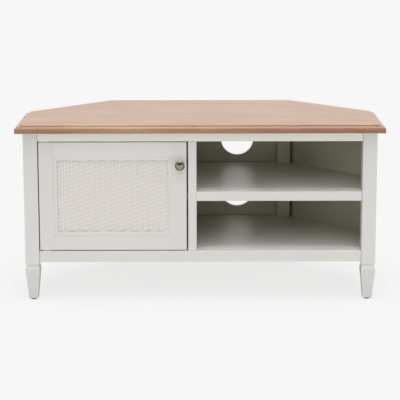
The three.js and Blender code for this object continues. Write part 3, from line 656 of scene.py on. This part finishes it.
def cane():
    """Split cane, washed off-white: fibres along each strand and a tone of its own for each."""
    finish = Finish("cane")
    strand = finish.node("ShaderNodeUVMap", uv_map="strand").outputs[0]
    length, place = finish.axis(strand, X), finish.axis(strand, Y)
    number = finish.math("FLOOR", place)
    luck = finish.chance(finish.joined(number, 2.0, 9.0))
    threads = finish.joined(finish.times(length, FIBRES_ALONG), finish.times(place, FIBRES_ACROSS), luck)
    fibres = finish.noise(threads, detail=3.0, roughness=0.6)
    stains = finish.noise(finish.joined(finish.times(length, STAINS_ALONG), number, 4.0))
    tone = finish.plus(finish.times(fibres, 0.6), finish.times(luck, 0.1))
    tone = finish.plus(tone, finish.times(stains, 0.3))
    body = finish.tones(tone, (0.3, 0.7), CANE, CANE_SHARES)
    # Painted shade on the uprights
    is_warp = finish.math("LESS_THAN", place, 0.0)
    body = finish.mix(is_warp, body, finish.tinted(body, shade(WARP_SHADE_TINT)))
    stained = finish.spread(stains, (0.62, 0.75), (0.0, STAIN_STRENGTH))
    body = finish.mix(stained, body, shade(CANE_STAIN))
    # Painted shadow where the strands dive under the beads
    end_shadows = finish.times(diving_end_shadows(finish), DIVE_SHADOW_DARKNESS)
    finish.set(
        Base_Color=finish.mix(end_shadows, body, shade(CANE, DIVE_SHADOW_SHARE)),
        Roughness=finish.spread(fibres, (0.3, 0.7), CANE_ROUGHNESS),
        Normal=finish.bump(fibres, FIBRE_HEIGHT),
    )
    return finish.material


def diving_end_shadows(finish):
    """Painted shadow where the strands dive under the beads, in dashes as long as the twill's floats."""
    x, z = finish.axis(finish.point, X), finish.axis(finish.point, Z)
    repeat_across, repeat_up = TWILL_REPEAT * WARP_PITCH, TWILL_REPEAT * WEFT_PITCH
    sides = (
        (z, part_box("bead_top")[0].z, x, repeat_across, 0.1),
        (z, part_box("bead_bottom")[1].z, x, repeat_across, 0.6),
        (x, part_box("bead_left")[1].x, z, repeat_up, 0.0),
        (x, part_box("bead_right")[0].x, z, repeat_up, 0.5),
    )
    dive = 0.0
    for across, edge, along, repeat, phase in sides:
        beside = finish.fade(finish.between(across, edge), scaled((0.4, 1.0), DIVE_REACH))
        turn = finish.math("FRACT", finish.plus(finish.math("DIVIDE", along, repeat), phase))
        dash = finish.fade(finish.between(turn, 0.5), DASH_SPAN)
        dive = finish.math("MAXIMUM", dive, finish.times(beside, dash))
    return dive


def dress(material, *names):
    """Gives CAD nodes a finish."""
    for name in names:
        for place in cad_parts[name].material_slots:
            place.material = material


# Woven cane sheet

class Strands:
    """Collects flat crowned strands into one mesh."""

    def __init__(self):
        self.points = []
        self.marks = []
        self.faces = []

    def add(self, path, side, width, number):
        """path: points down the middle; side: unit vector across; the thickness lies along Y."""
        sections = len(STRAND_SECTION)
        start = len(self.points)
        travelled = 0.0
        for place, point in enumerate(path):
            if place:
                travelled += (point - path[place - 1]).length
            for across, out in STRAND_SECTION:
                offset = side * (across * width / 2) + Vector((0, -out * STRAND_THICKNESS / 2, 0))
                self.points.append(point + offset)
                self.marks.append((travelled, number + 0.5 + across * MARK_HALF))
        for ring in range(len(path) - 1):
            first = start + ring * sections
            for corner in range(sections):
                following = (corner + 1) % sections
                ahead = first + sections
                self.faces.append((first + corner, first + following, ahead + following, ahead + corner))
        last = start + (len(path) - 1) * sections
        self.faces.append(tuple(start + corner for corner in reversed(range(sections))))
        self.faces.append(tuple(last + corner for corner in range(sections)))

    def piece(self, name, material):
        """One object; its uv map holds each point's way along its strand, and its place across."""
        mesh = bpy.data.meshes.new(name)
        mesh.from_pydata(self.points, [], self.faces)
        corners = np.zeros(len(mesh.loops), np.int32)
        mesh.loops.foreach_get("vertex_index", corners)
        marks = np.array(self.marks, np.float32)[corners]
        mesh.uv_layers.new(name="strand").uv.foreach_set("vector", marks.ravel())
        mesh.polygons.foreach_set("use_smooth", [True] * len(mesh.polygons))
        mesh.materials.append(material)
        mesh.update()
        made = bpy.data.objects.new(name, mesh)
        bpy.context.scene.collection.objects.link(made)
        return made


def warp_is_over(warp, weft):
    """The twill climbs one weft for each warp to the right."""
    return (weft - warp) % TWILL_REPEAT < TWILL_OVER


def float_path(origin, along, count, pitch, is_over, wobble):
    """Middle line of a strand that floats over some crossings and under the rest."""
    path = []
    out = Vector((0, -1, 0))
    crossing = 0
    while crossing < count:
        over = is_over(crossing)
        end = crossing
        while end + 1 < count and is_over(end + 1) == over:
            end += 1
        rise = STRAND_RISE if over else -STRAND_RISE
        crown = FLOAT_CROWN if over else -FLOAT_CROWN
        first = (crossing + FLOAT_END_SHARE) * pitch
        last = (end + 1 - FLOAT_END_SHARE) * pitch
        for share, height in ((0.0, rise), (0.5, rise + crown), (1.0, rise)):
            distance = first + (last - first) * share
            path.append(origin + along * distance + out * height + wobble(distance))
        crossing = end + 1
    return path


def woven_cane(material):
    """The door's sheet of cane, woven strand by strand in the place of its CAD node."""
    low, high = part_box("cane_webbing")
    middle = (low.y + high.y) / 2
    warps = round((high.x - low.x) / WARP_PITCH)
    wefts = round((high.z - low.z) / WEFT_PITCH)
    warp_pitch = (high.x - low.x) / warps
    weft_pitch = (high.z - low.z) / wefts
    luck = random.Random(WEAVE_SEED)
    strands = Strands()

    def wobble_along(side, reach):
        phase, period = luck.uniform(0, math.tau), luck.uniform(*WOBBLE_PERIODS)
        return lambda distance: side * (reach * math.sin(phase + distance / period * math.tau))

    right, up = Vector((1, 0, 0)), Vector((0, 0, 1))
    for warp in range(warps):
        origin = Vector((low.x + (warp + 0.5) * warp_pitch, middle, low.z))
        wobble = wobble_along(right, WARP_WOBBLE)
        path = float_path(origin, up, wefts, weft_pitch, lambda weft: warp_is_over(warp, weft), wobble)
        strands.add(path, right, WARP_WIDTH * luck.uniform(*WARP_WIDTH_SHARES), -1 - warp)
    for weft in range(wefts):
        origin = Vector((low.x, middle, low.z + (weft + 0.5) * weft_pitch))
        wobble = wobble_along(up, WEFT_WOBBLE)
        path = float_path(
            origin, right, warps, warp_pitch, lambda warp: not warp_is_over(warp, weft), wobble
        )
        strands.add(path, up, WEFT_WIDTH * luck.uniform(*WEFT_WIDTH_SHARES), weft)
    return strands.piece("woven_cane", material)


# Room: floor, backdrop light, lamps and camera

def floor():
    """A wide pale floor of small tiles, level with the glides."""
    step = 2 * FLOOR_HALF / FLOOR_TILES
    places = [-FLOOR_HALF + step * number for number in range(FLOOR_TILES + 1)]
    points = [(x, y, -FLOOR_DROP) for y in places for x in places]
    row = len(places)
    faces = [
        (corner, corner + 1, corner + row + 1, corner + row)
        for line in range(FLOOR_TILES)
        for corner in range(line * row, line * row + FLOOR_TILES)
    ]
    mesh = bpy.data.meshes.new("floor")
    mesh.from_pydata(points, [], faces)
    mesh.materials.append(floor_finish())
    made = bpy.data.objects.new("floor", mesh)
    bpy.context.scene.collection.objects.link(made)


def floor_finish():
    """Dull floor; what the camera sees of it is mostly glow, so its shadows stay faint."""
    finish = Finish("floor")
    first, second = FLOOR_SHARES
    finish.set(
        Base_Color=finish.mix(finish.cells(FLOOR_CLOUDS), shade(FLOOR, first), shade(FLOOR, second)),
        Roughness=0.9,
        Specular_IOR_Level=0.0,
    )
    glow = finish.node("ShaderNodeEmission")
    finish.put(glow.inputs["Color"], shade(FLOOR_GLOW))
    seen = finish.node("ShaderNodeLightPath").outputs["Is Camera Ray"]
    share = finish.times(seen, 1.0 - SHADOW_SHARE)
    both = finish.blend(share, finish.shader.outputs["BSDF"], glow.outputs[0])
    finish.put(finish.output.inputs["Surface"], both)
    return finish.material


def sky():
    """Even white light from all round, which the camera sees as the pale background."""
    world = bpy.data.worlds.new("sky")
    world.use_nodes = True
    bpy.context.scene.world = world
    nodes = Nodes(world.node_tree)
    rays = nodes.node("ShaderNodeLightPath").outputs
    seen = nodes.math("MAXIMUM", rays["Is Camera Ray"], rays["Is Glossy Ray"])
    seen = nodes.math("MAXIMUM", seen, rays["Is Transmission Ray"])

    def background(colour, strength):
        made = nodes.node("ShaderNodeBackground")
        nodes.put(made.inputs["Color"], shade(colour))
        nodes.put(made.inputs["Strength"], strength)
        return made.outputs[0]

    both = nodes.blend(seen, background(WHITE, SKY_STRENGTH), background(BACKGROUND, 1.0))
    output = nodes.node("ShaderNodeOutputWorld")
    nodes.put(output.inputs["Surface"], both)


def soft_lamp(name, strength, elevation):
    """One broad soft lamp in front, at an elevation."""
    lamp = bpy.data.lights.new(name, "SUN")
    lamp.energy = strength
    lamp.angle = LAMP_SPREAD
    made = bpy.data.objects.new(name, lamp)
    made.rotation_euler = (math.pi / 2 - elevation, 0.0, 0.0)
    bpy.context.scene.collection.objects.link(made)


def camera():
    """The photograph's camera."""
    lens = bpy.data.cameras.new("camera")
    lens.lens = CAMERA_LENS
    lens.shift_y = CAMERA_SHIFT_Y
    made = bpy.data.objects.new("camera", lens)
    made.location = CAMERA_PLACE
    made.rotation_euler = (math.pi / 2 - CAMERA_PITCH, CAMERA_ROLL, CAMERA_YAW)
    bpy.context.scene.collection.objects.link(made)
    bpy.context.scene.camera = made


# Finishes of the CAD nodes
GLIDES = [f"{place}_glide" for place in ("front_left", "front_right", "rear_left", "rear_right")]
PINS = [f"shelf_pin_{number}" for number in range(1, 5)]

dress(paint("paint_legs", Z, tint=foot_shade), "front_left_leg", "front_right_leg")
dress(
    paint("paint_upright", Z),
    "centre_stile",
    "door_hinge_stile",
    "door_latch_stile",
    "bead_left",
    "bead_right",
)
dress(
    paint("paint_walls", Z, inside=INSIDE_SHADE_TINT),
    "rear_left_leg",
    "rear_right_leg",
    "left_side_panel",
    "right_side_panel",
    "divider_panel",
)
dress(
    paint("paint_corners", Z, inside=INSIDE_SHADE_TINT, tint=corner_shades),
    "left_corner_panel",
    "right_corner_panel",
)
dress(paint("paint_back", X, inside=INSIDE_SHADE_TINT, tint=wall_seam_shadows), "back_panel")
dress(
    paint("paint_across", X),
    "bottom_front_rail",
    "rear_top_rail",
    "rear_bottom_rail",
    "door_bottom_rail",
    "bead_bottom",
    "door_backing_panel",
)
# The door's top rail and top bead take the lighter paint: painted light
dress(paint("paint_door_rail", X, colour=DOOR_RAIL_PAINTED_LIGHT), "door_top_rail", "bead_top")
# Shelves and bottom: painted light in front, painted shade in the depth
dress(paint("paint_bottom", X, tint=shelf_painted_light), "bottom_panel")
dress(paint("paint_shelves", X, roughness=SHELF_SHEEN, tint=shelf_painted_light), "bay_shelf", "cupboard_shelf")
# The top front rail takes the lighter paint: painted light under the top's overhang
dress(paint("paint_top_rail", X, colour=TOP_RAIL_PAINTED_LIGHT), "top_front_rail")
dress(paint("paint_cleats", Y), "left_top_cleat", "right_top_cleat")
dress(top_wood(), "top_board")
dress(metal("pewter", PEWTER, roughness=0.14, tarnish=0.35, dark_marks=knob_patina_and_reflection), "knob")
dress(metal("pewter_rose", PEWTER, roughness=0.30, tarnish=0.35), "knob_rose")
dress(
    metal("zinc", ZINC, roughness=0.30, tarnish=0.2),
    *PINS,
    "lower_pivot_pin",
    "upper_pivot_pin",
    "knob_screw",
    "catch_strike",
)
dress(plastic("glide", GLIDE, roughness=0.42), *GLIDES)
dress(
    plastic("catch", CATCH, roughness=0.38),
    "magnetic_catch",
    "door_lower_bush",
    "door_upper_bush",
)

webbing = woven_cane(cane())
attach(webbing, "door")
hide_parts("cane_webbing")

floor()
sky()
soft_lamp("top_lamp", TOP_LAMP_STRENGTH, TOP_LAMP_ELEVATION)
soft_lamp("front_lamp", FRONT_LAMP_STRENGTH, FRONT_LAMP_ELEVATION)
camera()
bpy.context.scene.view_settings.view_transform = "Standard"
